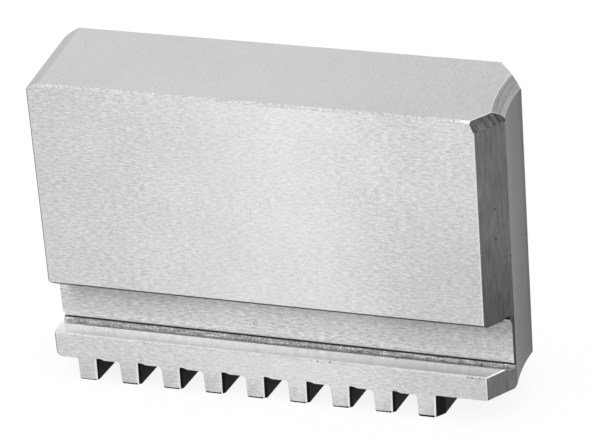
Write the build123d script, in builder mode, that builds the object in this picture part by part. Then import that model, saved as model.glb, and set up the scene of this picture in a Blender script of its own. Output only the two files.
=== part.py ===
"""One-piece soft jaw for a three-jaw scroll chuck: a blank block to be machined, guide grooves and scroll teeth."""
import os
from math import isclose, radians, sqrt, tan

from build123d import *

# Frame: X runs along the jaw towards its tip, Y across it, Z up.
# The jaw stands on its tooth tips, with the origin under the middle of its box.

# Overall sizes, in millimetres
length = 85.2
width = 22.0
block_height = 41.2
groove_height = 10.0
rail_height = 4.75
tooth_height = 4.75
groove_depth = 5.0

# Tip: two V faces, a bored seat across them and a stepped turned chamfer above the seat
v_angle = 54.0
tip_width = 11.1
bore_radius = 38.0
turned_run = 2.3
turned_drop = 1.85
turned_step_run = 1.55
turned_step_drop = 0.95
v_chamfer_in = 0.65
v_chamfer_down = 2.35

# Edges along the jaw
top_edge = 0.45
shoulder_edge = 0.75
rail_edge = 0.35

# Outer end
end_chamfer_run = 2.3
end_chamfer_drop = 1.1
end_front_edge = 0.35
end_back_radius = 2.5
end_shoulder_radius = 0.9
end_rail_radius = 1.1

# Relief cut into the corners of each guide groove
lower_relief_lip = 0.65
lower_relief_depth = 0.65
lower_relief_width = 1.5
lower_relief_floor = 0.85
lower_relief_undercut = 0.45
upper_relief_depth = 0.35
upper_relief_width = 1.1
neck_bead = 0.35
neck_bead_height = 1.3

# Scroll teeth, bowed away from the tip about the chuck's axis
tooth_pitch = 8.0
tooth_land = 3.5
first_tooth_inset = 13.55
last_tooth_clearance = 2.0
outer_flank_radius = 95.0
inner_flank_radius = 120.0
tooth_bevel_in = 1.0
tooth_bevel_along = 7.2
outer_root_radius = 1.0
inner_root_radius = 0.5
tooth_tip_edge = 0.2

# Levels and places worked out from the sizes above
root_z = tooth_height
rail_z = root_z + rail_height
shoulder_z = rail_z + groove_height
top_z = shoulder_z + block_height
half_width = width / 2
neck_y = half_width - groove_depth
tip_x = length / 2
end_x = -length / 2
v_slope = radians(v_angle)
v_start_x = tip_x - (half_width - tip_width / 2) / tan(v_slope)
v_meet_x = v_start_x + half_width / tan(v_slope)
bore_x = tip_x + sqrt(bore_radius**2 - (tip_width / 2) ** 2)
seat_x = bore_x - bore_radius
first_tooth_x = tip_x - first_tooth_inset
tooth_run = length - first_tooth_inset - tooth_land - last_tooth_clearance
tooth_count = int(tooth_run // tooth_pitch) + 1
section = Plane.YZ.offset(end_x)
blank_length = v_meet_x - end_x

# How far the turning tool's path runs past the jaw
beyond = 5.0

with BuildPart() as soft_jaw:
    # Block, with its outer end chamfered on top and rounded below
    with BuildSketch(section):
        with BuildLine():
            Polyline(
                (0, top_z),
                (half_width - top_edge, top_z),
                (half_width, top_z - top_edge),
                (half_width, shoulder_z + shoulder_edge),
                (half_width - shoulder_edge, shoulder_z),
                (0, shoulder_z),
            )
            mirror(about=Plane.YZ)
        make_face()
    extrude(amount=blank_length)
    block_top = soft_jaw.faces().sort_by(Axis.Z)[-1]
    chamfer(block_top.edges().sort_by(Axis.X)[0], end_chamfer_run, end_chamfer_drop, reference=block_top)
    block_under = soft_jaw.faces().sort_by(Axis.Z)[0]
    fillet(block_under.edges().sort_by(Axis.X)[0], end_shoulder_radius)

    # Rail, rounded below at the outer end
    with BuildSketch(section):
        with BuildLine():
            Polyline(
                (0, rail_z),
                (half_width - rail_edge, rail_z),
                (half_width, rail_z - rail_edge),
                (half_width, root_z),
                (0, root_z),
            )
            mirror(about=Plane.YZ)
        make_face()
    extrude(amount=blank_length)
    rail_under = soft_jaw.faces().sort_by(Axis.Z)[0]
    fillet(rail_under.edges().sort_by(Axis.X)[0], end_rail_radius)

    # Neck between the guide grooves, a little fuller under the block
    with BuildSketch(section):
        with BuildLine():
            Polyline(
                (0, shoulder_z),
                (neck_y + neck_bead, shoulder_z),
                (neck_y, shoulder_z - neck_bead_height),
                (neck_y, rail_z),
                (0, rail_z),
            )
            mirror(about=Plane.YZ)
        make_face()
    extrude(amount=blank_length)

    # Reliefs in the corners of the grooves
    with BuildSketch(section):
        with BuildLine():
            Polyline(
                (neck_y + neck_bead, shoulder_z),
                (neck_y + neck_bead, shoulder_z + upper_relief_depth),
                (neck_y + upper_relief_width, shoulder_z + upper_relief_depth),
                (neck_y + upper_relief_width, shoulder_z),
                close=True,
            )
        make_face()
        with BuildLine():
            Polyline(
                (neck_y, rail_z + lower_relief_lip),
                (neck_y - lower_relief_undercut, rail_z),
                (neck_y, rail_z - lower_relief_depth),
                (neck_y + lower_relief_floor, rail_z - lower_relief_depth),
                (neck_y + lower_relief_width, rail_z),
                close=True,
            )
        make_face()
        mirror(about=Plane.YZ)
    extrude(amount=blank_length, mode=Mode.SUBTRACT)

    # Scroll teeth under the rail, each with its tip-side corners cut back
    outer_bow = outer_flank_radius - sqrt(outer_flank_radius**2 - half_width**2)
    bevel_y = half_width - tooth_bevel_along
    inner_bow = inner_flank_radius - sqrt(inner_flank_radius**2 - bevel_y**2)
    with BuildSketch():
        for i in range(tooth_count):
            inner_x = first_tooth_x - i * tooth_pitch
            outer_x = inner_x - tooth_land
            bevel_x = inner_x + tooth_bevel_in
            with BuildLine():
                Line((outer_x, -half_width), (inner_x, -half_width))
                Line((inner_x, -half_width), (bevel_x, -bevel_y))
                ThreePointArc((bevel_x, -bevel_y), (bevel_x - inner_bow, 0), (bevel_x, bevel_y))
                Line((bevel_x, bevel_y), (inner_x, half_width))
                Line((inner_x, half_width), (outer_x, half_width))
                ThreePointArc((outer_x, half_width), (outer_x - outer_bow, 0), (outer_x, -half_width))
            make_face()
    extrude(amount=root_z)

    # Tooth roots, fuller on the outer flanks, which are the tighter arcs
    root_edges = soft_jaw.edges().filter_by_position(Axis.Z, root_z, root_z)
    root_arcs = root_edges.filter_by(GeomType.CIRCLE)
    fillet([arc for arc in root_arcs if isclose(arc.radius, outer_flank_radius)], outer_root_radius)
    root_edges = soft_jaw.edges().filter_by_position(Axis.Z, root_z, root_z)
    root_arcs = root_edges.filter_by(GeomType.CIRCLE)
    inner_arcs = [arc for arc in root_arcs if isclose(arc.radius, inner_flank_radius)]
    bevels = root_edges.filter_by(GeomType.LINE).filter_by(Axis.X, reverse=True).filter_by(Axis.Y, reverse=True)
    fillet(inner_arcs + bevels, inner_root_radius)
    chamfer(soft_jaw.faces().filter_by_position(Axis.Z, 0, 0).edges(), tooth_tip_edge)

    # The plan gives both V faces and the outer end's two corners
    with BuildSketch() as plan:
        with BuildLine():
            Polyline(
                (end_x, -half_width),
                (v_start_x, -half_width),
                (v_meet_x, 0),
                (v_start_x, half_width),
                (end_x, half_width),
                close=True,
            )
        make_face()
        chamfer(plan.vertices().group_by(Axis.X)[0].sort_by(Axis.Y)[0], end_front_edge)
        fillet(plan.vertices().group_by(Axis.X)[0].sort_by(Axis.Y)[-1], end_back_radius)
    extrude(amount=top_z, mode=Mode.INTERSECT)

    # Steep chamfers on the top edges of the V faces
    top_face = soft_jaw.faces().sort_by(Axis.Z)[-1]
    slanted = top_face.edges().filter_by(Axis.X, reverse=True).filter_by(Axis.Y, reverse=True)
    chamfer(slanted.filter_by(GeomType.LINE), v_chamfer_in, v_chamfer_down, reference=top_face)

    # The seat is bored about the chuck's axis, with the stepped chamfer turned above it
    with BuildSketch(Plane.XZ):
        with BuildLine():
            Polyline(
                (seat_x, -beyond),
                (seat_x, top_z - turned_drop),
                (seat_x - turned_run + turned_step_run, top_z - turned_step_drop),
                (seat_x - turned_run, top_z),
                (seat_x - turned_run, top_z + beyond),
                (bore_x, top_z + beyond),
                (bore_x, -beyond),
                close=True,
            )
        make_face()
    revolve(axis=Axis((bore_x, 0, 0), (0, 0, 1)), mode=Mode.SUBTRACT)

soft_jaw.part.label = "soft_jaw"
os.makedirs("parts", exist_ok=True)
export_step(soft_jaw.part, "parts/soft_jaw.step")
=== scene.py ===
"""Looks of the one-piece soft jaw: ground sides, milled grooves and tip, and scroll teeth, with light and
shade painted into many faces and near-black painted shade on the teeth's flanks.
"""
import math
import random

import bmesh
import bpy
from mathutils import Matrix, Vector, noise


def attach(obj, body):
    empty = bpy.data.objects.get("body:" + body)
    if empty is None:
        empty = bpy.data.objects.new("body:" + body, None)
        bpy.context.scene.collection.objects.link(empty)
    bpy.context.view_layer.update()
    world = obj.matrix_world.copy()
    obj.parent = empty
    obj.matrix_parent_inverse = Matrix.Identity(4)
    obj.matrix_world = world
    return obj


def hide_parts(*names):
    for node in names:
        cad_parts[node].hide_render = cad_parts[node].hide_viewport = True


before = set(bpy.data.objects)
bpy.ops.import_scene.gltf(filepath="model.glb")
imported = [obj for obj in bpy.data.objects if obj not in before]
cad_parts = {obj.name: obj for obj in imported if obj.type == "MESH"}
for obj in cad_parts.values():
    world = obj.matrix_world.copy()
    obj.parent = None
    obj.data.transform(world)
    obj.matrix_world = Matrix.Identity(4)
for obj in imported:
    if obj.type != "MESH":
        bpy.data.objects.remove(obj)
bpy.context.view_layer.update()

# Sizes are in millimetres. X runs towards the tip, Y across and Z up from the tooth tips.
# A side is -1 in front and 1 behind.
MM = 0.001
UP = Vector((0, 0, 1))

# Levels, half widths and ends
LENGTH = 85.2
HALF = 11.0
ROOT, RAIL, SHOULDER, TOP = 4.75, 9.5, 19.5, 60.7
NECK = 6.0
TIP_X, END_X = LENGTH / 2, -LENGTH / 2

# Tip: two V faces with a steep chamfer, the bored seat, and the stepped chamfer turned above it
V_SLOPE = math.radians(52.7)
TIP_HALF = 5.55
V_START_X = TIP_X - (HALF - TIP_HALF) / math.tan(V_SLOPE)
V_CHAMFER_IN, V_CHAMFER_DOWN = 0.65, 2.35
BORE_R = 38.0
BORE_X = TIP_X + math.sqrt(BORE_R**2 - TIP_HALF**2)
TURNED_RUN, TURNED_DROP = 2.3, 1.85
STEP_RUN, STEP_DROP = 1.55, 0.95
SEAT_FOOT, SEAT_FOOT_UP = 0.45, 0.63

# Soft corners of the stepped chamfer: where both ends of each break lie, out and up from the sharp corner
LOW_CORNER = ((0.0, -0.06), (0.04, 0.05))
STEP_CORNER = ((-0.05, -0.06), (0.05, 0.03))
RIM_CORNER = ((-0.1, -0.07), (0.03, 0.01))

# Breaks where the tip's faces meet: V face and side, V chamfer and top, V face and seat, V face and rail top
V_EDGE_BREAK, V_LIP_BREAK, SEAT_BREAK, RAIL_BREAK = 0.07, 0.05, 0.02, 0.19

# Edges along the jaw
TOP_EDGE, BACK_TOP_EDGE = 0.45, 0.14
SHOULDER_EDGE = 0.75
RAIL_EDGE = 0.35

# Outer end
END_RUN, END_DROP = 2.3, 1.1
END_FRONT, END_BACK = 0.22, 2.5
END_SHOULDER, END_RAIL = 0.9, 1.1

# Relief under the block and the neck's fuller top: (out from the neck, up from the shoulder)
UPPER_RELIEF = ((1.5, 0.0), (1.4, 0.42), (0.3, 0.42))
BEAD_OUT, BEAD_DROP = 0.35, 1.45
NECK_BEAD = ((BEAD_OUT, -0.38), (0.31, -0.58), (0.22, -0.85), (0.1, -1.15))

# Relief above the rail: (out from the neck, up from the rail, zone, parts of the run that starts here)
LOWER_RELIEF = ((0.0, 0.8, "lip", 1), (-0.01, 0.65, "notch", 3), (-0.33, 0.06, "relief_lit", 1),
                (-0.45, -0.03, "relief", 1), (-0.38, -0.1, "relief", 5), (0.0, -0.65, "relief_floor", 5),
                (0.85, -0.65, "relief_floor", 4))
RELIEF_WIDTH = 1.68
RELIEF_TILT = 0.0032

# Corner cut off the neck's foot at the outer end
FOOT_RUN, FOOT_RISE = 0.77, 1.05
FOOT_Z, FOOT_BOTTOM_Z = RAIL + 0.6, RAIL + 0.1
FOOT_INNER, FOOT_OUTER = NECK - 2.2, NECK + 0.4
FOOT_PAST = 1

# Scroll teeth
PITCH, LAND, TEETH = 8.0, 3.5, 9
FIRST_INSET = 13.55
LAST_TOOTH_X = TIP_X - FIRST_INSET - (TEETH - 1) * PITCH - LAND
OUTER_R, INNER_R = 95.0, 120.0
BEVEL_IN, BEVEL_ALONG = 1.0, 7.2
OUTER_ROOT, INNER_ROOT = 0.6, 0.5
OUTER_DRAFT, INNER_DRAFT = 0.16, 0.1
TIP_BREAK, TIP_BREAK_BEHIND = 0.2, 0.05
FOOT_LINE, FOOT_LINE_DEPTH = 0.3, 0.06

# The nose at each end of a tooth, given a painted highlight, and how the inner flank swells behind it
NOSE, NOSE_BACK = 0.26, 0.14
NOSE_HIGHLIGHT_BANDS = 2
FLANK_SWELL, SWELL_REACH = 0.3, 0.3

# A tooth's outlines along its bevels and its middle, and the steps of a root's round
BEVEL_STEPS, BEVEL_GAP = 8, 0.9
MIDDLE_STEPS = 5
ROOT_STEPS = 6

# The rail's underside is a little lower beyond the teeth and in most of each gap
UNDER_PAD = 0.3
PAD_START, PAD_FULL = 0.7, 1.6

# Wear: of the ground edges by side, its mean against its swing, its share across and down, and of the relief
EDGE_WEAR = {-1: 0.035, 1: 0.015}
EDGE_WEAR_MEAN = 0.6
WEAR_SHARE = 0.7
RELIEF_WEAR_Y, RELIEF_WEAR_Z = 0.10, 0.12

# Sections along X: near the outer end, the gap after that, how far past the tip, and beside each outer flank
NEAR_END = (0, 0.03, 0.08, 0.15, 0.25, 0.35, 0.5, 0.7, 0.9, 1.1, 1.4, 1.7, 2.0, 2.3, 2.5)
SECTION_GAP = 0.25
PAST_TIP = 2
BESIDE_FLANK = 0.001

# Cutting tools: the bore's steps to both sides, how far the tools pass the metal, and the wedge's inner end
TURN_STEPS, TURN_REACH = 72, math.radians(24)
TOOL_INWARD, TOOL_ABOVE, TOOL_BELOW = 12, 4.0, 1.0
WEDGE_PAST = 0.5
WEDGE_START = NECK + 1.55

# Tolerances, and the angle under which an edge is shaded smooth
NEAR = 0.01
WELD = 1e-4
SMOOTH_BELOW = math.radians(24)

# Camera, as the photograph was taken: a long lens, from the right and above
CAM_AIM = Vector((5.44, -10.98, 37.91))
CAM_AZIMUTH, CAM_ELEVATION, CAM_ROLL = math.radians(19.54), math.radians(29.905), math.radians(-4.551)
CAM_DISTANCE = 656.2
CAM_LENS, CAM_SENSOR = 229.6, 36.0

# Lamps, in metres and watts: name, place, aim, size, power
LAMPS = (
    ("band", (-0.172, -0.580, 0.165), (0.004, -0.011, 0.042), (0.03, 0.16), 0.2),
    ("front", (-0.30, -0.85, 0.62), (0, 0, 0.03), (0.7, 0.5), 0.25),
    ("left", (-0.9, -0.35, 0.6), (0, 0, 0.03), (1.2, 1.2), 2.0),
    ("above", (0.3, 0.1, 1.1), (0, 0, 0.03), (1.2, 1.2), 1.5),
)
WORLD_LIGHT = 0.55

# Floor, in metres; the camera sees a glowing white that still takes the jaw's shadow
FLOOR_HALF = 3.0
FLOOR_PLAIN, FLOOR_GLOW, FLOOR_SHADE = 0.8, 0.88, 0.2


# Directions at the tip

def v_out(side):
    """Straight out of a V face."""
    return Vector((math.sin(V_SLOPE), side * math.cos(V_SLOPE), 0))


def chamfer_out(side):
    """Straight out of the steep chamfer above a V face."""
    return (v_out(side) * V_CHAMFER_DOWN + UP * V_CHAMFER_IN).normalized()


# Materials

class Nodes:
    """A short way to write a node tree."""

    def __init__(self, tree):
        self.tree = tree

    def node(self, kind, inputs=None, **props):
        n = self.tree.nodes.new("ShaderNode" + kind)
        for key, value in props.items():
            setattr(n, key, value)
        for key, value in (inputs or {}).items():
            self.set(n.inputs[key], value)
        return n

    def set(self, socket, value):
        if isinstance(value, bpy.types.NodeSocket):
            self.tree.links.new(value, socket)
        else:
            socket.default_value = value

    def math(self, operation, a, b=0.0, clamp=False):
        return self.node("Math", {0: a, 1: b}, operation=operation, use_clamp=clamp).outputs[0]

    def vector_math(self, operation, a, b, output="Vector"):
        return self.node("VectorMath", {0: a, 1: b}, operation=operation).outputs[output]

    def times(self, *values):
        product = values[0]
        for value in values[1:]:
            product = self.math("MULTIPLY", product, value)
        return product

    def split(self, vector):
        return self.node("SeparateXYZ", {0: vector}).outputs

    def join(self, x, y, z):
        return self.node("CombineXYZ", {0: x, 1: y, 2: z}).outputs[0]

    def spread(self, value, low, high, from_low=0.3, from_high=0.7):
        """Maps a range on to another; the range that comes in is a noise's unless it is given."""
        return self.node("MapRange", {0: value, 1: from_low, 2: from_high, 3: low, 4: high}).outputs[0]

    def place(self, space):
        """Object position in millimetres: plain, mirrored about the middle plane or polar about the bore."""
        mm = self.vector_math("MULTIPLY", self.node("TexCoord").outputs["Object"], (1000, 1000, 1000))
        if space == "plain":
            return mm
        x, y, z = self.split(mm)
        if space == "mirrored":
            return self.join(x, self.math("ABSOLUTE", y), z)
        ahead = self.math("SUBTRACT", BORE_X, x)
        radius = self.math("SQRT", self.math("ADD", self.times(ahead, ahead), self.times(y, y)))
        around = self.times(self.math("ARCTAN2", y, ahead), BORE_R)
        return self.join(self.math("SUBTRACT", radius, BORE_R), around, z)

    def noise(self, where, grain, detail, rough):
        """Noise whose features a millimetre are given along X, Y and Z, or along three vectors."""
        if isinstance(grain[0], (int, float)):
            at = self.vector_math("MULTIPLY", where, grain)
        else:
            at = self.join(*[self.vector_math("DOT_PRODUCT", where, way, "Value") for way in grain])
        inputs = {"Vector": at, "Scale": 1.0, "Detail": detail, "Roughness": rough}
        return self.node("TexNoise", inputs).outputs["Fac"]

    def eye_ray(self):
        """1 for camera, glossy and transmission rays, and 0 for the rays that carry light."""
        path = self.node("LightPath").outputs
        seen = self.math("MAXIMUM", path["Is Camera Ray"], path["Is Glossy Ray"])
        return self.math("MAXIMUM", seen, path["Is Transmission Ray"])


def new_material(name):
    mat = bpy.data.materials.new(name)
    mat.use_nodes = True
    return mat, Nodes(mat.node_tree)


def grey(tone):
    """Linear value of a 0 to 255 screen grey."""
    c = tone / 255
    return c / 12.92 if c <= 0.04045 else ((c + 0.055) / 1.055) ** 2.4


def fade(m, where, change, slopes):
    """A factor that goes from 1 to change where every slope (axis, from, to) has been climbed."""
    xyz = m.split(where)
    climbed = m.times(*[m.spread(xyz["XYZ".index(axis)], 0.0, 1.0, low, high) for axis, low, high in slopes])
    return m.spread(climbed, 1.0, change, 0.0, 1.0)


def steel(name, tone, grain, contrast, fine=(5, 5, 5), speckle=None, blotch=0.02, bump=0.002, roughness=0.42,
          metal=0.9, space="plain", streaky=0.0, pits=(), fades=(), patches=None, flecks=None, near=None):
    """Machined steel of a screen grey, with tool marks along its grain, fine speckle and slow blotches.

    bump is in millimetres, pits are (x, y, z, radius, level) and fades (change, slopes), which paint light
    and shade into the grey. patches is one fade of the tool marks' contrast, flecks is (grain, level, cut)
    and near is (plane normal, plane offset, reach, change), a painted highlight along a plane.
    """
    mat, m = new_material(name)
    here = m.place(space)
    marks = m.noise(here, grain, 4.0, 0.62)
    dust = m.noise(here, fine, 2.0, 0.5)
    clouds = m.noise(here, (0.09, 0.09, 0.09), 2.0, 0.5)
    speckle = contrast * 0.5 if speckle is None else speckle
    swing = m.spread(marks, -contrast, contrast)
    if patches:
        swing = m.times(swing, fade(m, here, *patches))
    specks = m.spread(dust, 1 - speckle, 1 + speckle)
    blotches = m.spread(clouds, 1 - blotch, 1 + blotch)
    level = m.times(m.math("ADD", swing, 1.0), specks, blotches)
    for change, slopes in fades:
        level = m.times(level, fade(m, here, change, slopes))
    if flecks:
        fleck_grain, depth, cut = flecks
        level = m.times(level, m.spread(m.noise(here, fleck_grain, 2.0, 0.5), depth, 1.0, cut, cut + 0.05))
    if near:
        normal, offset, reach, change = near
        away = m.math("SUBTRACT", offset, m.vector_math("DOT_PRODUCT", m.place("mirrored"), normal, "Value"))
        level = m.times(level, m.spread(away, change, 1.0, reach, reach * 1.5))
    for x, y, z, radius, depth in pits:
        away = m.vector_math("DISTANCE", here, (x, y, z), "Value")
        level = m.times(level, m.spread(away, depth, 1.0, radius * 0.5, radius * 1.2))
    value = m.math("MULTIPLY", level, grey(tone), clamp=True)
    height = m.math("ADD", marks, m.times(dust, 0.4))
    bumped = m.node("Bump", {"Strength": 1.0, "Distance": bump * MM, "Height": height})
    shader = m.tree.nodes["Principled BSDF"].inputs
    m.set(shader["Base Color"], m.node("CombineColor", {0: value, 1: value, 2: value}).outputs[0])
    m.set(shader["Metallic"], metal)
    m.set(shader["Roughness"], m.spread(marks, roughness - 0.04, roughness + 0.04))
    m.set(shader["Normal"], bumped.outputs[0])
    if streaky:
        m.set(shader["Anisotropic"], streaky)
        m.set(shader["Anisotropic Rotation"], 0.25)
    return mat


# Tool marks that run along no axis: the facing cutter's on top, the V chamfer's and the V faces'
V_ALONG = Vector((math.cos(V_SLOPE), -math.sin(V_SLOPE), 0))
V_OUT = v_out(1)
CHAMFER_DOWN = (V_OUT * V_CHAMFER_IN - UP * V_CHAMFER_DOWN).normalized()
STROKE = (V_ALONG * 0.53 + CHAMFER_DOWN).normalized()
CHAMFER_MARKS = (V_OUT.cross(STROKE).normalized() * 3.6, STROKE * 0.3, V_OUT * 0.2)
V_MARKS = (V_ALONG * 2.6, UP * 0.22, V_OUT)
FACING_MARKS = (Vector((3.8, -0.6, 0)), Vector((0.1, 0.62, 0)), UP)
GRINDING_MARKS = (0.9, 0.9, 3.0)

# A painted highlight: the turned chamfer is painted lighter next to the V chamfer
CHAMFER_OFFSET = chamfer_out(1).dot(Vector((V_START_X, HALF, TOP - V_CHAMFER_DOWN)))
CHAMFER_HIGHLIGHT = (chamfer_out(1), CHAMFER_OFFSET, 0.12, 1.7)

V_PITS = ((39.79, 9.24, 58.5, 0.34, 0.3), (40.67, 8.08, 36.34, 0.26, 0.4), (40.73, 8.01, 42.3, 0.28, 0.5),
          (42.46, 5.74, 31.95, 0.26, 0.45))
SEAT_PITS = tuple((0, *pit) for pit in (
    (-2.86, 17.75, 0.27, 0.25), (-1.75, 15.83, 0.23, 0.4), (-0.24, 11.8, 0.24, 0.35),
    (-1.76, 11.27, 0.23, 0.4), (4.46, 30.43, 0.3, 0.25), (1.54, 34.38, 0.24, 0.4),
    (2.44, 24.3, 0.3, 0.3), (-3.1, 44.0, 0.2, 0.5), (2.9, 39.2, 0.21, 0.5), (-1.0, 27.1, 0.2, 0.5)))
RAIL_NICKS = tuple((x, -10.9, z, 0.25, 0.4) for x, z in (
    (3.4, 9.5), (7.45, 9.15), (9.71, 9.3), (35.06, 9.1), (35.87, 9.2), (37.25, 9.15)))

GROUND = {"fine": (3, 3, 6), "speckle": 0.12, "streaky": 1.0, "bump": 0.003, "roughness": 0.33}
ROUGH = {"fine": (2.6, 2.6, 2.6), "bump": 0.02, "roughness": 0.5}
TURNED = {"space": "polar", "near": CHAMFER_HIGHLIGHT}

ZONES = {
    # Painted light and shade on the ground side: a dark line just under the top edge near the tip, lighter
    # towards the outer end and up near the tip, darker low down towards the tip.
    "side": steel(
        "ground_side_painted_light_and_shade", 206, GRINDING_MARKS, 0.24, **GROUND, blotch=0.03,
        pits=((35.67, -11.0, 42.0, 0.22, 0.6),), patches=(0.62, (("X", -22, -10), ("X", 20, 10))),
        fades=((0.82, (("Z", 60.0, 60.15), ("X", 30, 34))), (1.055, (("X", -8, -26),)),
               (1.07, (("X", 26, 32), ("Z", 38, 46))), (0.95, (("X", 15, 22), ("Z", 44, 34))))),
    "tooth_side": steel("tooth_side", 206, GRINDING_MARKS, 0.2, **GROUND),
    # Painted shade: the top is painted darker towards the tip.
    "top": steel(
        "ground_top_painted_shade", 206, FACING_MARKS, 0.04, fine=(3, 3, 3), speckle=0.08, bump=0.001,
        patches=(2.8, (("X", 12, 34),)), fades=((0.905, (("X", 0, 42),)),)),
    "end_chamfer": steel("end_chamfer", 189, (2, 1, 2), 0.05),
    # The top edge's dark flecks are wear; its lighter end at the tip is a painted highlight.
    "top_edge": steel(
        "edge_ground_wear_and_painted_highlight", 207, (1.6, 6, 6), 0.3, fine=(3, 8, 8), speckle=0.2,
        fades=((1.4, (("X", 34.5, 37.5),)),), flecks=((1.2, 6, 6), 0.65, 0.33)),
    # Painted shade: the broken edge under the block's front is painted near black, the dark line under the
    # block.
    "shoulder_edge": steel("shoulder_edge", 46, (1.2, 5, 5), 0.2),
    "under": steel("underside", 120, (1.2, 3, 3), 0.08),
    # Painted light and shade on the neck: darker under the shoulder except at the outer end, a painted
    # highlight along its middle, and lighter at its foot, a painted reflection of the rail top.
    "neck": steel(
        "neck_milled_painted_light_and_shade", 218, (0.8, 1.0, 2.8), 0.34, fine=(3, 3, 4), speckle=0.12, bump=0.004, streaky=0.6,
        metal=0.6, pits=((-42.5, -6, 15.69, 0.2, 0.3),),
        fades=((0.72, (("Z", 14.3, 16.6), ("X", -41.2, -39.8))),
               (0.87, (("Z", 11.2, 14.3), ("X", -41.2, -39.8))),
               (1.1, (("Z", 13.3, 16.6), ("X", -24, -12), ("X", 22, 14))),
               (1.13, (("Z", 10.8, 12.0), ("X", -24, -10), ("X", 22, 14))), (1.2, (("Z", 12.0, 10.4),)))),
    # Painted shade: the relief under the block is painted near black, the shadow in it.
    "dark": steel("upper_relief_painted_shade", 30, (1.2, 3, 3), 0.2),
    "notch": steel("relief_shade", 62, (1.2, 3, 3), 0.25),
    # Painted highlight: the neck's lower lip above the relief is painted near white.
    "lip": steel("relief_lip_painted_highlight", 238, (1.5, 6, 6), 0.12),
    "relief": steel("relief_rough", 174, (0.45, 3.6, 3.6), 0.5, speckle=0.5, **ROUGH),
    "relief_lit": steel("relief_lit", 225, (0.8, 3.6, 3.6), 0.4),
    # Painted light: the relief's floor is painted near white to make up for the shade in the groove.
    "relief_floor": steel("relief_floor", 250, (0.45, 3.6, 3.6), 0.45, speckle=0.45, **ROUGH),
    # Painted light and shade on the rail top: its grey is raised to white to make up for the shade under the
    # block, and it is painted darker at the outer end, towards the tip and just before its outer edges.
    "rail_top": steel(
        "rail_top", 255, (0.6, 3, 3), 0.06, metal=1.0, roughness=0.24, space="mirrored",
        fades=((0.8, (("X", -39.5, -42.0),)), (0.9, (("Y", 9.2, 10.5),)), (0.75, (("X", -24, 36),)))),
    "rail_edge": steel("rail_edge", 212, (1.4, 4, 4), 0.16, fine=(2, 5, 5), speckle=0.1, pits=RAIL_NICKS),
    "end": steel("end_face", 150, (1, 0.5, 4), 0.06),
    # Painted shade: the front edge at the outer end is painted dark, a dark line along it.
    "end_edge": steel("end_edge", 118, (1, 1, 2), 0.1),
    # The tip's faces are darker greys than the ground sides: partly their milled, bored and turned finish,
    # partly painted shade for the dark they mirror. The V face is also painted darker beside the neck, lower
    # down and at the top.
    "v_face": steel(
        "v_milled_painted_shade", 110, V_MARKS, 0.26, fine=(4, 4, 0.8), speckle=0.1, blotch=0.16, bump=0.004,
        space="mirrored", pits=V_PITS,
        fades=((0.6, (("Y", 6.15, 5.95), ("Z", 19.8, 19.4), ("Z", 9.0, 9.4))),
               (0.62, (("Z", 45, 24), ("Z", 9, 10))), (0.93, (("Z", 46, 54),)))),
    "v_chamfer": steel(
        "v_chamfer", 102, CHAMFER_MARKS, 0.8, fine=(4, 4, 4), speckle=0.2, bump=0.01, space="mirrored"),
    # Painted shade on the seat: darker towards the front, towards the bottom and along its back edge.
    "seat": steel(
        "seat_bored_painted_shade", 112, (1.2, 1.2, 1.6), 0.16, fine=(4, 4, 4), speckle=0.09, space="polar", pits=SEAT_PITS,
        fades=((0.86, (("Y", 3, -5.5),)), (0.74, (("Z", 38, 14),)), (0.75, (("Y", 3.6, 5.4),)))),
    "turned": steel(
        "turned_chamfer", 154, (2.6, 0.12, 2.6), 0.26, fine=(5, 0.5, 5), bump=0.006, **TURNED),
    "turned_low": steel(
        "turned_chamfer_low", 168, (2.6, 0.12, 2.6), 0.2, fine=(5, 0.5, 5), bump=0.006, **TURNED),
    "turned_line": steel(
        "turned_step", 122, (2, 0.25, 2), 0.5, fades=((1.5, (("Y", -1.0, 1.5),)),), **TURNED),
    # Painted highlights: the small breaks of the tip's edges and of the rail's V edges are painted light.
    "edge": steel("broken_edge", 224, (2, 2, 2), 0.12),
    "edge_bright": steel("edge_bright", 250, (2, 2, 2), 0.05),
    # Painted highlight: the bands at each tooth's noses are painted near white.
    "tooth_edge": steel("tooth_edge", 240, (2, 2, 2), 0.05),
    "edge_soft": steel("broken_edge_soft", 122, (2, 2, 2), 0.12),
    # Painted shade: the tooth flanks and the rail's underside are painted near black, and the tooth tips'
    # breaks darker still.
    "flank": steel("scroll_flank_painted_shade", 28, (1, 1, 2), 0.06, roughness=0.7),
    "tooth_tip": steel("tooth_tip", 20, (2, 2, 2), 0.08),
}
ZONE_INDEX = {name: i for i, name in enumerate(ZONES)}


# Mesh, built in millimetres

def ease(value, low, high):
    t = min(1.0, max(0.0, (value - low) / (high - low)))
    return t * t * (3 - 2 * t)


def bow(radius, y):
    """How much nearer the tip a flank's arc stands at y than in its middle."""
    return radius - math.sqrt(radius**2 - y**2)


def paint(faces, zone):
    for face in faces:
        face.material_index = ZONE_INDEX[zone]


def skin(bm, rings, zone_at):
    """Closed bands of faces from ring to ring; zone_at(band, place in the ring) names their zones."""
    faces = []
    for i, (a, b) in enumerate(zip(rings, rings[1:])):
        for k in range(len(a)):
            j = (k + 1) % len(a)
            face = bm.faces.new((a[k], a[j], b[j], b[k]))
            paint([face], zone_at(i, k))
            faces.append(face)
    return faces


def fill_cut(bm, point, normal, zone):
    """Cuts away what lies past a plane and closes the cut with a face of the zone."""
    everything = bm.verts[:] + bm.edges[:] + bm.faces[:]
    cut = bmesh.ops.bisect_plane(
        bm, geom=everything, dist=1e-5, plane_co=point, plane_no=normal, clear_outer=True)
    edges = [g for g in cut["geom_cut"] if isinstance(g, bmesh.types.BMEdge) and g.is_boundary]
    paint(bmesh.ops.holes_fill(bm, edges=edges, sides=0)["faces"], zone)


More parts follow.
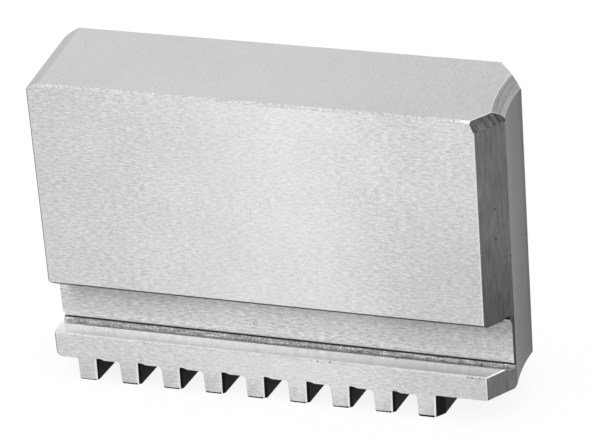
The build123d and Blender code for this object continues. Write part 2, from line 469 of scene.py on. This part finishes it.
def object_from(bm, name):
    mesh = bpy.data.meshes.new(name)
    bm.to_mesh(mesh)
    bm.free()
    for mat in ZONES.values():
        mesh.materials.append(mat)
    made = bpy.data.objects.new(name, mesh)
    bpy.context.scene.collection.objects.link(made)
    return made


def half_outline():
    """Section of one side, from the top's middle to the rail's: (y, z, zone of the run that starts here)."""
    corners = [
        (0, TOP, "top", 5),
        (HALF - TOP_EDGE, TOP, "top_edge", 5),
        (HALF, TOP - TOP_EDGE, "side", 3),
        (HALF, SHOULDER + SHOULDER_EDGE, "shoulder_edge", 2),
        (HALF - SHOULDER_EDGE, SHOULDER, "under", 2),
    ]
    corners += [(NECK + out, SHOULDER + up, "dark", 1) for out, up in UPPER_RELIEF]
    corners += [(NECK + out, SHOULDER + up, "neck", 1) for out, up in NECK_BEAD]
    corners.append((NECK, SHOULDER - BEAD_DROP, "neck", 4))
    corners += [(NECK + out, RAIL + up, zone, parts) for out, up, zone, parts in LOWER_RELIEF]
    corners += [
        (NECK + RELIEF_WIDTH, RAIL, "rail_top", 4),
        (HALF - RAIL_EDGE, RAIL, "rail_edge", 4),
        (HALF, RAIL - RAIL_EDGE, "side", 2),
        # The rail's underside takes the flanks' painted shade.
        (HALF, ROOT, "flank", 4),
        (0, ROOT, None, 1),
    ]
    points = []
    for (y, z, zone, parts), (next_y, next_z, _, _) in zip(corners, corners[1:]):
        for k in range(parts):
            t = k / parts
            points.append((y + (next_y - y) * t, z + (next_z - z) * t, zone))
    points.append((0, ROOT, None))
    return points


def nicks(seed, count, reach):
    """Small dents along an edge: (place, depth, half length)."""
    dice = random.Random(seed)
    return [(dice.uniform(END_X, TIP_X), dice.uniform(0.3, 1.0) * reach, dice.uniform(0.15, 0.5))
            for _ in range(count)]


NICKS = {("top_edge", -1): nicks(3, 46, 0.16), ("top_edge", 1): nicks(4, 12, 0.05),
         ("rail_edge", -1): nicks(5, 36, 0.08), ("rail_edge", 1): nicks(6, 50, 0.14)}


def worn(x, y, z, zone, side):
    """Moves a section point where the metal is nicked, roughly cut or cut on a slant.

    Its noise has one to three features a millimetre; what is added to a place only keeps two noises apart.
    """
    if zone in ("top_edge", "rail_edge"):
        depth = EDGE_WEAR[side] * (noise.noise((x * 1.1, side * 9.0, z * 2.0)) + EDGE_WEAR_MEAN)
        for place, reach, half in NICKS[(zone, side)]:
            depth += reach * max(0.0, 1 - abs(x - place) / half)
        return y - WEAR_SHARE * depth, z - WEAR_SHARE * depth
    if zone in ("lip", "notch", "relief_lit"):
        z -= RELIEF_TILT * x
    if zone in ("relief", "relief_floor"):
        y += RELIEF_WEAR_Y * noise.noise((x * 1.7, y * 3.0, z * 3.0 + side))
        z += RELIEF_WEAR_Z * noise.noise((x * 1.7 + 40, y * 3.0 + side, z * 3.0))
    return y, z


def underside(x):
    """The rail's underside at x: at the tooth roots' level beside each inner flank, and lower past it."""
    if x < LAST_TOOTH_X:
        return ROOT - UNDER_PAD
    past = (x - LAST_TOOTH_X - LAND) % PITCH
    in_gap = past < PITCH - LAND and x < LAST_TOOTH_X + (TEETH - 1) * PITCH
    return ROOT - UNDER_PAD * ease(past, PAD_START, PAD_FULL) if in_gap else ROOT


def end_limits(x):
    """How far the outer end lets the section reach: top, front, back, block's and rail's undersides."""
    d = x - END_X

    def round_in(r):
        return 0.0 if d >= r else r - math.sqrt(r * r - (r - d) ** 2)

    top = TOP - END_DROP * max(0.0, 1 - d / END_RUN)
    front = HALF - max(0.0, END_FRONT - d)
    back = HALF - round_in(END_BACK)
    return top, front, back, SHOULDER + round_in(END_SHOULDER), underside(x) + round_in(END_RAIL)


def half_section(x, outline, side):
    """One side of the section at x, from the top's middle down, with that side's edge, wear and end."""
    top, front, back, block_under, rail_under = end_limits(x)
    points = []
    for y, z, zone in outline:
        if side > 0 and y > HALF - TOP_EDGE - NEAR and z > TOP - TOP_EDGE - NEAR:
            sharper = BACK_TOP_EDGE / TOP_EDGE
            y, z = HALF - (HALF - y) * sharper, TOP - (TOP - z) * sharper
        y, z = worn(x, y, z, zone, side)
        y = min(y, back if side > 0 else front)
        z = min(z, top)
        if z > SHOULDER - NEAR and y > NECK + BEAD_OUT + NEAR:
            z = max(z, block_under)
        z = rail_under if z == ROOT else max(z, rail_under)
        points.append((side * y, z, zone))
    return points


def section_at(x, outline):
    """The whole section at x: down the back, then up the front, where a run has its upper point's zone."""
    down = half_section(x, outline, 1)
    front = half_section(x, outline, -1)
    zones = [zone for _, _, zone in front]
    up = [(y, z, above) for (y, z, _), above in zip(front[1:], zones)][::-1]
    down[-1] = (*down[-1][:2], up[0][2])
    return down + up[1:]


def stations():
    """Where the sections stand: close together at the outer end, and in a pair at each outer flank."""
    places = [END_X + d for d in NEAR_END]
    while places[-1] < TIP_X + PAST_TIP:
        places.append(places[-1] + SECTION_GAP)
    places += [LAST_TOOTH_X + k * PITCH + d for k in range(TEETH) for d in (-BESIDE_FLANK, BESIDE_FLANK)]
    return sorted(places)


def cut_tip(bm, side):
    """Cuts one V face with its chamfer, and breaks their edges."""
    out, slanted = v_out(side), chamfer_out(side)
    start = Vector((V_START_X, side * HALF, TOP))
    fill_cut(bm, start, out, "v_face")
    fill_cut(bm, start - UP * V_CHAMFER_DOWN, slanted, "v_chamfer")
    corner = (out + Vector((0, side, 0))).normalized()
    fill_cut(bm, start - corner * V_EDGE_BREAK, corner, "edge")
    lip = (slanted + UP).normalized()
    fill_cut(bm, start - out * V_CHAMFER_IN - lip * V_LIP_BREAK, lip, "edge")


def swept_body():
    """Block, neck and rail along X, then the tip's flat cuts."""
    outline = half_outline()
    places = stations()
    zones = [zone for _, _, zone in section_at(0.0, outline)]
    bm = bmesh.new()
    rings = [[bm.verts.new((x, y, z)) for y, z, _ in section_at(x, outline)] for x in places]

    def zone_at(i, k):
        from_end = places[i] - END_X
        if zones[k] == "top" and from_end < END_RUN - NEAR:
            return "end_chamfer"
        # The front's strip at the outer end takes the end edge's painted dark line.
        if zones[k] == "side" and from_end < END_FRONT - NEAR and rings[i][k].co.y < 0:
            return "end_edge"
        return zones[k]

    skin(bm, rings, zone_at)
    bmesh.ops.remove_doubles(bm, verts=bm.verts, dist=WELD)
    bmesh.ops.dissolve_degenerate(bm, dist=WELD, edges=bm.edges)
    open_edges = [e for e in bm.edges if e.is_boundary]
    paint(bmesh.ops.holes_fill(bm, edges=open_edges, sides=0)["faces"], "end")
    bmesh.ops.recalc_face_normals(bm, faces=bm.faces)
    for side in (-1, 1):
        cut_tip(bm, side)
    return object_from(bm, "body_blank")


def bore_tool(bm):
    """The space that the boring tool sweeps: the seat with its foot, and the stepped chamfer above it."""
    step_r, rim_r = BORE_R + TURNED_RUN - STEP_RUN, BORE_R + TURNED_RUN
    corners = (
        (BORE_R, TOP - TURNED_DROP, LOW_CORNER, ("edge_soft", "turned_low")),
        (step_r, TOP - STEP_DROP, STEP_CORNER, ("turned_line", "turned")),
        (rim_r, TOP, RIM_CORNER, ("edge", "edge")),
    )
    profile = [
        (BORE_R + SEAT_FOOT, -TOOL_BELOW, "seat"),
        (BORE_R + SEAT_FOOT, ROOT, "seat"),
        (BORE_R, ROOT + SEAT_FOOT_UP, "seat"),
    ]
    for r, z, ends, zones in corners:
        profile += [(r + out, z + up, zone) for (out, up), zone in zip(ends, zones)]
    profile += [
        (rim_r + RIM_CORNER[1][0], TOP + TOOL_ABOVE, "edge"),
        (BORE_R - TOOL_INWARD, TOP + TOOL_ABOVE, "edge"),
        (BORE_R - TOOL_INWARD, -TOOL_BELOW, "edge"),
    ]
    rings = []
    for k in range(TURN_STEPS + 1):
        turn = math.pi - TURN_REACH + 2 * TURN_REACH * k / TURN_STEPS
        x_part, y_part = math.cos(turn), math.sin(turn)
        rings.append([bm.verts.new((BORE_X + r * x_part, r * y_part, z)) for r, z, _ in profile])
    skin(bm, rings, lambda i, k: profile[k][2])
    paint([bm.faces.new(ring) for ring in (rings[0], rings[-1])], "edge")


def edge_wedge(bm, side):
    """A prism that breaks the rail top's edge with a V face."""
    corners = [(-RAIL_BREAK - WEDGE_PAST, WEDGE_PAST), (WEDGE_PAST, -RAIL_BREAK - WEDGE_PAST),
               (WEDGE_PAST * 2, WEDGE_PAST * 2)]
    rings = []
    for y in (WEDGE_START, HALF + WEDGE_PAST):
        edge = Vector((V_START_X + (HALF - y) / math.tan(V_SLOPE), side * y, RAIL))
        rings.append([bm.verts.new(edge + v_out(side) * out + UP * up) for out, up in corners])
    paint([bm.faces.new(ring) for ring in rings], "edge_bright")
    skin(bm, rings, lambda i, k: "edge_bright")


def corner_cut(bm, side):
    """Takes the corner off the neck's foot at the outer end, where the relief cutter ran in."""
    edge, outer, inner = side * NECK, side * FOOT_OUTER, side * FOOT_INNER
    points = [(END_X + FOOT_RUN, edge, FOOT_Z), (END_X + FOOT_RUN, outer, FOOT_Z)]
    for x in (END_X, END_X - FOOT_PAST):
        points += [(x, edge, FOOT_Z + FOOT_RISE), (x, outer, FOOT_Z + FOOT_RISE), (x, inner, FOOT_Z),
                   (x, edge, FOOT_BOTTOM_Z), (x, outer, FOOT_BOTTOM_Z)]
    hull = bmesh.ops.convex_hull(bm, input=[bm.verts.new(point) for point in points])
    paint([g for g in hull["geom"] if isinstance(g, bmesh.types.BMFace)], "relief")


def cutting_tools():
    """What is cut from the body: the bore, the breaks of the rail's edges and the neck's foot corners."""
    bm = bmesh.new()
    bore_tool(bm)
    for side in (-1, 1):
        edge_wedge(bm, side)
        corner_cut(bm, side)
    bmesh.ops.recalc_face_normals(bm, faces=bm.faces)
    return object_from(bm, "cutting_tools")


def cut_away(body, tool):
    """The body less the tool, as a new mesh; both objects are removed."""
    mod = body.modifiers.new("bore", "BOOLEAN")
    mod.operation = "DIFFERENCE"
    mod.solver = "EXACT"
    mod.object = tool
    done = bpy.data.meshes.new_from_object(body.evaluated_get(bpy.context.evaluated_depsgraph_get()))
    bm = bmesh.new()
    bm.from_mesh(done)
    for o in (body, tool):
        bpy.data.objects.remove(o)
    return bm


def break_seat_edge(bm, side):
    """Breaks the edge between a V face and the seat."""
    inward = Vector((math.sqrt(BORE_R**2 - TIP_HALF**2), -side * TIP_HALF, 0)).normalized()
    corner = (v_out(side) + inward).normalized()
    fill_cut(bm, Vector((TIP_X, side * TIP_HALF, 0)) - corner * SEAT_BREAK, corner, "edge_soft")


def tooth_places():
    """Where a tooth's outlines stand across the jaw: closest together at its noses."""
    bevel_y = HALF - BEVEL_ALONG
    depths = [0, FOOT_LINE_DEPTH, NOSE, NOSE + SWELL_REACH] + [BEVEL_GAP * k for k in range(1, BEVEL_STEPS)]
    half = [HALF - d for d in depths] + [bevel_y * (1 - k / MIDDLE_STEPS) for k in range(MIDDLE_STEPS)]
    return [-y for y in half] + [0] + half[::-1]


def tooth(bm, outer_x, swell=FLANK_SWELL, reach=SWELL_REACH, line=FOOT_LINE, outer_root=OUTER_ROOT,
          draft=OUTER_DRAFT):
    """One scroll tooth: its X-Z outline is carried along Y, bowed, with its ends cut back."""
    bevel_y = HALF - BEVEL_ALONG
    outer_top = ROOT - UNDER_PAD
    quarter = [math.radians(90 * k / ROOT_STEPS) for k in range(ROOT_STEPS + 1)]
    rings = []
    for y in tooth_places():
        depth = HALF - abs(y)
        left = outer_x - bow(OUTER_R, HALF) + bow(OUTER_R, y)
        right = outer_x + LAND
        if abs(y) > bevel_y:
            right += BEVEL_IN * depth / BEVEL_ALONG
        else:
            right += BEVEL_IN - bow(INNER_R, bevel_y) + bow(INNER_R, y)
        right += swell * ease(depth, NOSE, NOSE + reach) - max(0.0, NOSE - depth)
        right -= NOSE_BACK * (1 - ease(depth, NOSE, NOSE + SWELL_REACH))
        low = line * max(0.0, 1 - depth / FOOT_LINE_DEPTH)
        tip_break = TIP_BREAK if depth < NOSE - NEAR else TIP_BREAK_BEHIND
        foot_left, foot_right = left + draft, right - INNER_DRAFT
        outline = [(left, ROOT, "flank"), (left, outer_top, "flank")]
        for t in quarter:
            across, up = outer_root * (1 - math.sin(t)), outer_root * (1 - math.cos(t))
            outline.append((left - across, outer_top - up, "flank"))
        outline.append((foot_left, low + TIP_BREAK, "tooth_tip"))
        outline.append((foot_left + TIP_BREAK, low, "tooth_tip"))
        outline.append((foot_right - tip_break, low, "tooth_tip"))
        outline.append((foot_right, low + tip_break, "inner"))
        for t in quarter:
            across, up = INNER_ROOT * (1 - math.cos(t)), INNER_ROOT * (1 - math.sin(t))
            outline.append((right + across, ROOT - up, "inner"))
        rings.append([bm.verts.new((x, y, z)) for x, z, _ in outline])

    # Inner flanks take the flanks' painted shade, and their bands at the noses a painted highlight.
    def zone_at(i, k):
        at_nose = min(i, len(rings) - 2 - i) < NOSE_HIGHLIGHT_BANDS
        zone = outline[k][2]
        return ("tooth_edge" if at_nose else "flank") if zone == "inner" else zone

    ends = [bm.faces.new(ring) for ring in (rings[0], rings[-1])]
    paint(ends, "tooth_side")
    bmesh.ops.recalc_face_normals(bm, faces=skin(bm, rings, zone_at) + ends)


def finish_mesh(bm, name):
    """Smooth curves with crisp edges, in metres."""
    for edge in bm.edges:
        edge.smooth = len(edge.link_faces) == 2 and edge.calc_face_angle(0.0) < SMOOTH_BELOW
    for face in bm.faces:
        face.smooth = True
    bmesh.ops.scale(bm, vec=(MM, MM, MM), verts=bm.verts)
    return object_from(bm, name)


jaw_mesh = cut_away(swept_body(), cutting_tools())
for side in (-1, 1):
    break_seat_edge(jaw_mesh, side)
tooth(jaw_mesh, LAST_TOOTH_X, swell=0.1, line=0.2, outer_root=0.35, draft=0.02)
for k in range(1, TEETH - 1):
    tooth(jaw_mesh, LAST_TOOTH_X + k * PITCH)
tooth(jaw_mesh, LAST_TOOTH_X + (TEETH - 1) * PITCH, swell=1.0, reach=1.5, line=0.42)
jaw = finish_mesh(jaw_mesh, "soft_jaw_body")
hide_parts("soft_jaw")
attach(jaw, "root")


# Floor, light and camera

def floor_material():
    mat, m = new_material("floor")
    m.tree.nodes.remove(m.tree.nodes["Principled BSDF"])
    plain = m.node("BsdfDiffuse", {"Color": (FLOOR_PLAIN, FLOOR_PLAIN, FLOOR_PLAIN, 1)})
    glow = m.node("Emission", {"Color": (1, 1, 1, 1), "Strength": FLOOR_GLOW})
    shade = m.node("BsdfDiffuse", {"Color": (FLOOR_SHADE, FLOOR_SHADE, FLOOR_SHADE, 1)})
    white = m.node("AddShader", {0: glow.outputs[0], 1: shade.outputs[0]})
    mix = m.node("MixShader", {0: m.eye_ray(), 1: plain.outputs[0], 2: white.outputs[0]})
    m.set(m.tree.nodes["Material Output"].inputs[0], mix.outputs[0])
    return mat


def add_floor():
    bm = bmesh.new()
    bmesh.ops.create_grid(bm, x_segments=1, y_segments=1, size=FLOOR_HALF)
    mesh = bpy.data.meshes.new("floor")
    bm.to_mesh(mesh)
    bm.free()
    mesh.materials.append(floor_material())
    made = bpy.data.objects.new("floor", mesh)
    bpy.context.scene.collection.objects.link(made)
    return made


def add_world():
    """White where it is seen, and a plain, weaker light on the jaw."""
    world = bpy.data.worlds.new("studio")
    world.use_nodes = True
    bpy.context.scene.world = world
    m = Nodes(world.node_tree)
    background = m.tree.nodes["Background"].inputs
    m.set(background["Color"], (1, 1, 1, 1))
    m.set(background["Strength"], m.spread(m.eye_ray(), WORLD_LIGHT, 1.0, 0.0, 1.0))


def add_lamp(name, place, aim, size, power):
    data = bpy.data.lights.new(name, "AREA")
    data.shape = "RECTANGLE"
    data.size, data.size_y = size
    data.energy = power
    made = bpy.data.objects.new(name, data)
    made.location = place
    made.rotation_euler = (Vector(aim) - Vector(place)).to_track_quat("-Z", "Y").to_euler()
    bpy.context.scene.collection.objects.link(made)


def add_camera():
    camera = bpy.data.objects.new("camera", bpy.data.cameras.new("camera"))
    camera.data.lens = CAM_LENS
    camera.data.sensor_width = CAM_SENSOR
    camera.data.clip_start = 0.01
    level = math.cos(CAM_ELEVATION)
    back = Vector((math.sin(CAM_AZIMUTH) * level, -math.cos(CAM_AZIMUTH) * level, math.sin(CAM_ELEVATION)))
    turn = back.to_track_quat("Z", "Y").to_matrix() @ Matrix.Rotation(CAM_ROLL, 3, "Z")
    camera.matrix_world = Matrix.Translation((CAM_AIM + back * CAM_DISTANCE) * MM) @ turn.to_4x4()
    bpy.context.scene.collection.objects.link(camera)
    bpy.context.scene.camera = camera


floor = add_floor()
add_world()
for lamp in LAMPS:
    add_lamp(*lamp)
add_camera()
bpy.context.scene.view_settings.view_transform = "Standard"
